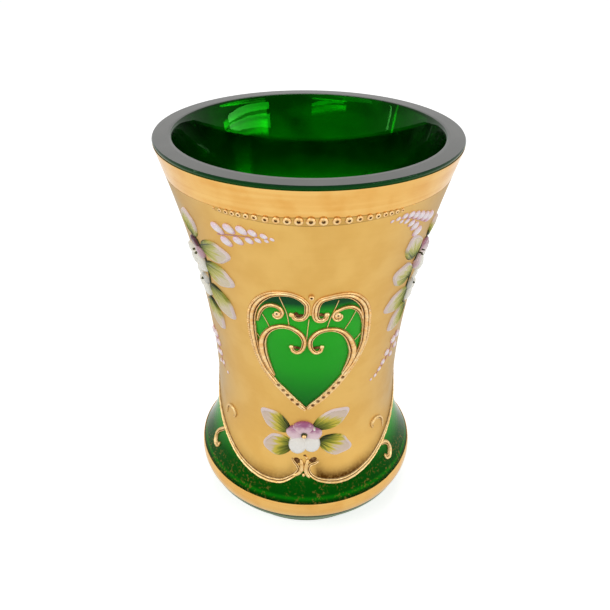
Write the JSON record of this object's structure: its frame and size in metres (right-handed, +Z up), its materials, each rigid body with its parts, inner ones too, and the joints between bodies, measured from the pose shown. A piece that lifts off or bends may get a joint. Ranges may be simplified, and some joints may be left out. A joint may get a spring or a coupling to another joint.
{
  "type": "vase",
  "caption": "Waisted, flaring vase of thick green glass with gilding, raised gold scrolls round a heart window, and modelled enamel flowers and leaves.",
  "frame": {"origin": "on the vase's axis, in the plane of the flat ring that it rests on", "axes": "+Z up along the vase's axis, towards the rim; -Y towards the front heart window; +X to the right of someone facing the front"},
  "size_m": [0.1092, 0.1092, 0.162],
  "materials": {
    "green_glass": "clear bright green glass, polished, with a ground rim and a ground foot",
    "burnished_gold": "thin burnished gilding, glossy",
    "matte_gold": "thin gilding, satin, slightly mottled",
    "raised_gold": "gilded raised paste, satin on its crests",
    "lilac_enamel": "raised enamel, lilac at the edges to white, soft gloss",
    "white_enamel": "raised white enamel, soft gloss",
    "leaf_enamel": "raised enamel, yellow-green to dark green with pale rims, soft gloss",
    "bud_enamel": "raised lilac-pink enamel dots, soft gloss"
  },
  "bodies": {
    "root": {"glass_body": "green_glass", "rim_gold_band": "burnished_gold", "gold_field": "matte_gold", "foot_gold_band": "burnished_gold", "front_bead_row": "raised_gold", "front_notch_bead": "raised_gold", "front_fleur_stem": "raised_gold", "front_outer_heart_scroll_left": "raised_gold", "front_outer_heart_scroll_right": "raised_gold", "front_inner_heart_scroll_left": "raised_gold", "front_inner_heart_scroll_right": "raised_gold", "front_tongue_scroll_left": "raised_gold", "front_tongue_scroll_right": "raised_gold", "front_field_curl_left": "raised_gold", "front_field_curl_right": "raised_gold", "front_flower_upper_petals": "lilac_enamel", "front_flower_lower_petals": "white_enamel", "front_flower_bead": "raised_gold", "front_leaf_upper_left": "leaf_enamel", "front_leaf_upper_right": "leaf_enamel", "front_leaf_lower_left": "leaf_enamel", "front_leaf_lower_right": "leaf_enamel", "front_left_spray_flowers": "white_enamel", "front_left_spray_leaves": "leaf_enamel", "front_left_spray_lilac_buds": "bud_enamel", "front_left_spray_pink_buds": "bud_enamel", "front_right_spray_flowers": "white_enamel", "front_right_spray_leaves": "leaf_enamel", "front_right_spray_lilac_buds": "bud_enamel", "front_right_spray_pink_buds": "bud_enamel", "back_bead_row": "raised_gold", "back_notch_bead": "raised_gold", "back_fleur_stem": "raised_gold", "back_outer_heart_scroll_left": "raised_gold", "back_outer_heart_scroll_right": "raised_gold", "back_inner_heart_scroll_left": "raised_gold", "back_inner_heart_scroll_right": "raised_gold", "back_tongue_scroll_left": "raised_gold", "back_tongue_scroll_right": "raised_gold", "back_field_curl_left": "raised_gold", "back_field_curl_right": "raised_gold", "back_flower_upper_petals": "lilac_enamel", "back_flower_lower_petals": "white_enamel", "back_flower_bead": "raised_gold", "back_leaf_upper_left": "leaf_enamel", "back_leaf_upper_right": "leaf_enamel", "back_leaf_lower_left": "leaf_enamel", "back_leaf_lower_right": "leaf_enamel", "back_left_spray_flowers": "white_enamel", "back_left_spray_leaves": "leaf_enamel", "back_left_spray_lilac_buds": "bud_enamel", "back_left_spray_pink_buds": "bud_enamel", "back_right_spray_flowers": "white_enamel", "back_right_spray_leaves": "leaf_enamel", "back_right_spray_lilac_buds": "bud_enamel", "back_right_spray_pink_buds": "bud_enamel"}
  },
  "joints": []
}
